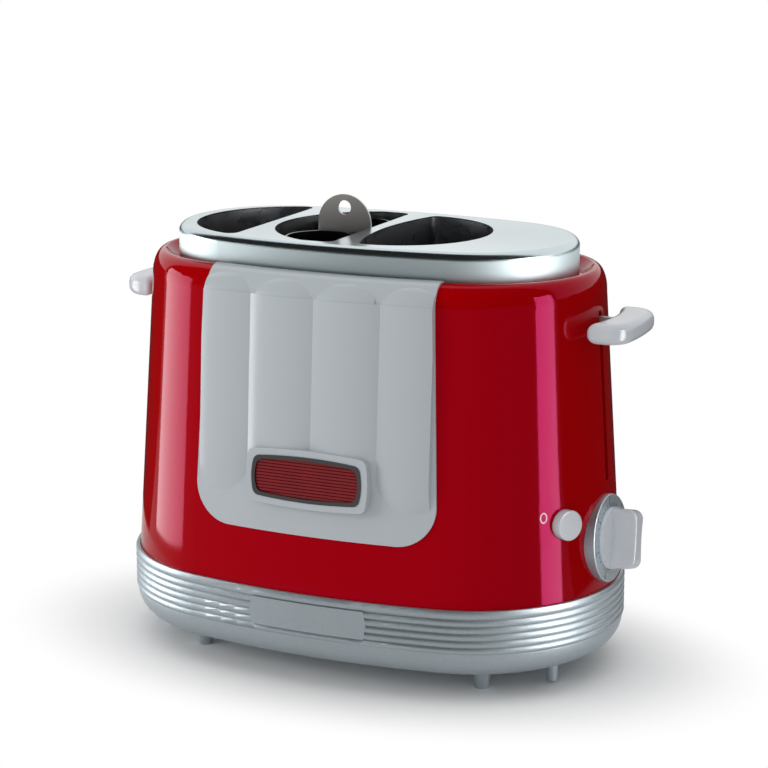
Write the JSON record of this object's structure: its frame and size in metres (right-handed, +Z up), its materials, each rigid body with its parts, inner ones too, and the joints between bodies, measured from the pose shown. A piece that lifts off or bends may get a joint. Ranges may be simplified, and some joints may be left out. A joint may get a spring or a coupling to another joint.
{
  "type": "hot dog toaster",
  "caption": "Oval countertop toaster with a bun slot on each side, a lift-out sausage basket between them, paddle levers, a timer dial and a cancel button.",
  "frame": {"origin": "on the table, under the middle of the oval base", "axes": "+X to the end with the dial, -Y to the fluted front panel, +Z up"},
  "size_m": [0.3067, 0.176, 0.2483],
  "materials": {
    "red_plastic": "moulded, high gloss",
    "steel_brushed": "brushed round the band",
    "steel_bright": "bright rolled sheet",
    "white_plastic": "moulded, half gloss",
    "dark_chrome": "dark chrome plate",
    "red_lens": "clear red, ribbed",
    "silver_paint": "moulded, sprayed with metallic silver lacquer",
    "zinc_steel": "zinc plated sheet",
    "basket_steel": "satin sheet steel",
    "mica": "pressed mica sheet",
    "copper_coil": "enamelled copper winding",
    "board_green": "laminate with solder mask",
    "black_plastic": "moulded, satin",
    "spring_steel": "spring wire and turned shaft"
  },
  "bodies": {
    "housing": {"outer_shell": "red_plastic", "top_cap": "steel_brushed", "slot_collar_left": "steel_bright", "slot_collar_centre": "steel_bright", "slot_collar_right": "steel_bright", "front_panel": "white_plastic", "badge_frame": "dark_chrome", "badge_lens": "red_lens", "base_housing": "silver_paint", "name_plate": "silver_paint", "foot_front_left": "silver_paint", "foot_front_right": "silver_paint", "foot_rear_left": "silver_paint", "foot_rear_right": "silver_paint", "cord_pegs": "silver_paint", "base_screws": "zinc_steel", "chassis_deck": "zinc_steel", "chassis_front": "zinc_steel", "chassis_rear": "zinc_steel", "bay_wall": "zinc_steel", "liner_left": "steel_bright", "liner_right": "steel_bright", "heater_left_front": "mica", "heater_left_rear": "mica", "heater_right_front": "mica", "heater_right_rear": "mica", "guard_left": "steel_bright", "guard_right": "steel_bright", "rod_bracket": "zinc_steel", "guide_rod_front": "steel_bright", "guide_rod_rear": "steel_bright", "electromagnet": "copper_coil", "control_board": "board_green", "timer_potentiometer": "black_plastic", "dial_bezel": "silver_paint", "cancel_switch": "black_plastic", "button_spring": "spring_steel", "return_spring": "spring_steel", "cord_gland": "black_plastic", "terminal_block": "black_plastic"},
    "carriage": {"carriage_beam": "zinc_steel", "carriage_block": "black_plastic", "armature": "zinc_steel", "bun_shelf_left": "zinc_steel", "bun_shelf_right": "zinc_steel", "lever_left": "white_plastic", "lever_right": "white_plastic"},
    "sausage_basket": {"basket_well_front": "basket_steel", "basket_well_rear": "basket_steel", "basket_tab": "basket_steel"},
    "timer_dial": {"timer_knob": "white_plastic", "timer_shaft": "spring_steel"},
    "cancel_button": {"cancel_button": "white_plastic"},
    "crumb_tray": {"crumb_tray": "zinc_steel", "tray_front": "silver_paint"}
  },
  "joints": [
    {"name": "carriage_slide", "type": "slide", "parent": "housing", "child": "carriage", "axis": [0, 0, 1], "range_m": [-0.072, 0], "stiffness_N_per_m": 60, "springref_m": 0.12, "deforming": ["return_spring"]},
    {"name": "basket_lift", "type": "slide", "parent": "carriage", "child": "sausage_basket", "axis": [0, 0, 1], "range_m": [0, 0.13]},
    {"name": "timer_turn", "type": "hinge", "parent": "housing", "child": "timer_dial", "pos_m": [0.13563, -0.00343, 0.0765], "axis": [0.9969, -0.0435, 0.0663], "range_deg": [-136, 164]},
    {"name": "button_press", "type": "slide", "parent": "housing", "child": "cancel_button", "axis": [0.8684, -0.4913, 0.0663], "range_m": [-0.003, 0], "stiffness_N_per_m": 400, "springref_m": 0.003, "deforming": ["button_spring"]},
    {"name": "tray_slide", "type": "slide", "parent": "housing", "child": "crumb_tray", "axis": [0, 1, 0], "range_m": [0, 0.15]}
  ]
}
